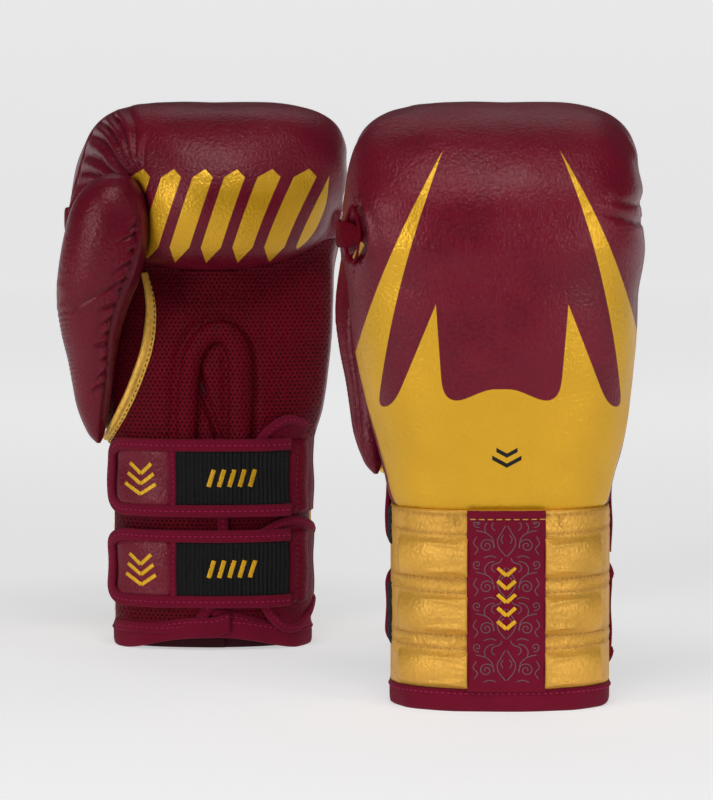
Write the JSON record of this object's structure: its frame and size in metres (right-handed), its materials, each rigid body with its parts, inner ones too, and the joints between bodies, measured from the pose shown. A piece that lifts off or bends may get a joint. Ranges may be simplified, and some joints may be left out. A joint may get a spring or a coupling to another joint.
{
  "type": "pair of boxing gloves",
  "caption": "Padded boxing gloves with curled fists, sewn thumbs and quilted cuffs that close with wide hook-and-loop wrist straps.",
  "frame": {"origin": "centre of the pair's footprint, on the plane that the cuffs stand on", "axes": "+Z from the cuffs to the fists, +X to the thumb-free side of the right glove, +Y from the right glove to the left glove"},
  "size_m": [0.3046, 0.341, 0.3],
  "materials": {
    "cover_leather": "grained burgundy leather with a satin shine",
    "palm_leather": "burgundy leather with fine perforations",
    "gold_leather": "metallic gold leather, satin",
    "foam": "closed-cell foam padding inside the covers",
    "lining_fabric": "smooth dark lining cloth",
    "binding_tape": "woven burgundy tape with a row of stitches",
    "webbing": "ribbed black elastic webbing",
    "loop_fabric": "fuzzy black loop tape",
    "hook_fabric": "black hook tape"
  },
  "bodies": {
    "gloves": {"right_back_cover": "cover_leather", "right_palm_cover": "palm_leather", "right_knuckle_foam": "foam", "right_hand_lining": "lining_fabric", "right_grip_bar": "foam", "right_palm_vent_roll": "cover_leather", "right_thumb_seam_piping": "gold_leather", "right_thumb_tether": "cover_leather", "right_cuff_cover": "gold_leather", "right_cuff_pad_thumb_side": "gold_leather", "right_cuff_pad_little_finger_side": "gold_leather", "right_cuff_centre_strip": "binding_tape", "right_cuff_hem_binding": "binding_tape", "right_cuff_flap_thumb_side": "palm_leather", "right_cuff_flap_little_finger_side": "palm_leather", "right_loop_patch_upper": "loop_fabric", "right_loop_patch_lower": "loop_fabric", "left_back_cover": "cover_leather", "left_palm_cover": "palm_leather", "left_knuckle_foam": "foam", "left_hand_lining": "lining_fabric", "left_grip_bar": "foam", "left_palm_vent_roll": "cover_leather", "left_thumb_seam_piping": "gold_leather", "left_thumb_tether": "cover_leather", "left_cuff_cover": "gold_leather", "left_cuff_pad_thumb_side": "gold_leather", "left_cuff_pad_little_finger_side": "gold_leather", "left_cuff_centre_strip": "binding_tape", "left_cuff_hem_binding": "binding_tape", "left_cuff_flap_thumb_side": "palm_leather", "left_cuff_flap_little_finger_side": "palm_leather", "left_loop_patch_upper": "loop_fabric", "left_loop_patch_lower": "loop_fabric"},
    "right_thumb": {"right_thumb_cover": "cover_leather", "right_thumb_foam": "foam"},
    "right_strap_upper": {"right_strap_upper_yoke": "cover_leather", "right_strap_upper_binding": "binding_tape", "right_strap_upper_tip_patch": "palm_leather", "right_strap_upper_webbing": "webbing", "right_strap_upper_hook_patch": "hook_fabric"},
    "right_strap_lower": {"right_strap_lower_yoke": "cover_leather", "right_strap_lower_binding": "binding_tape", "right_strap_lower_tip_patch": "palm_leather", "right_strap_lower_webbing": "webbing", "right_strap_lower_hook_patch": "hook_fabric"},
    "left_thumb": {"left_thumb_cover": "cover_leather", "left_thumb_foam": "foam"},
    "left_strap_upper": {"left_strap_upper_yoke": "cover_leather", "left_strap_upper_binding": "binding_tape", "left_strap_upper_tip_patch": "palm_leather", "left_strap_upper_webbing": "webbing", "left_strap_upper_hook_patch": "hook_fabric"},
    "left_strap_lower": {"left_strap_lower_yoke": "cover_leather", "left_strap_lower_binding": "binding_tape", "left_strap_lower_tip_patch": "palm_leather", "left_strap_lower_webbing": "webbing", "left_strap_lower_hook_patch": "hook_fabric"}
  },
  "joints": [
    {"name": "right_thumb_flex", "type": "hinge", "parent": "gloves", "child": "right_thumb", "pos_m": [0.02134, -0.091, 0.118], "axis": [-0.8, -0.6, 0], "range_deg": [0, 6]},
    {"name": "right_strap_upper_open", "type": "hinge", "parent": "gloves", "child": "right_strap_upper", "pos_m": [0.13959, -0.10304, 0.0953], "axis": [0, 0, -1], "range_deg": [0, 150]},
    {"name": "right_strap_lower_open", "type": "hinge", "parent": "gloves", "child": "right_strap_lower", "pos_m": [0.13959, -0.10304, 0.0454], "axis": [0, 0, -1], "range_deg": [0, 150]},
    {"name": "left_thumb_flex", "type": "hinge", "parent": "gloves", "child": "left_thumb", "pos_m": [-0.13066, 0.091, 0.118], "axis": [0.8, -0.6, 0], "range_deg": [0, 6]},
    {"name": "left_strap_upper_open", "type": "hinge", "parent": "gloves", "child": "left_strap_upper", "pos_m": [-0.01241, 0.10304, 0.0953], "axis": [0, 0, 1], "range_deg": [0, 150]},
    {"name": "left_strap_lower_open", "type": "hinge", "parent": "gloves", "child": "left_strap_lower", "pos_m": [-0.01241, 0.10304, 0.0454], "axis": [0, 0, 1], "range_deg": [0, 150]}
  ]
}
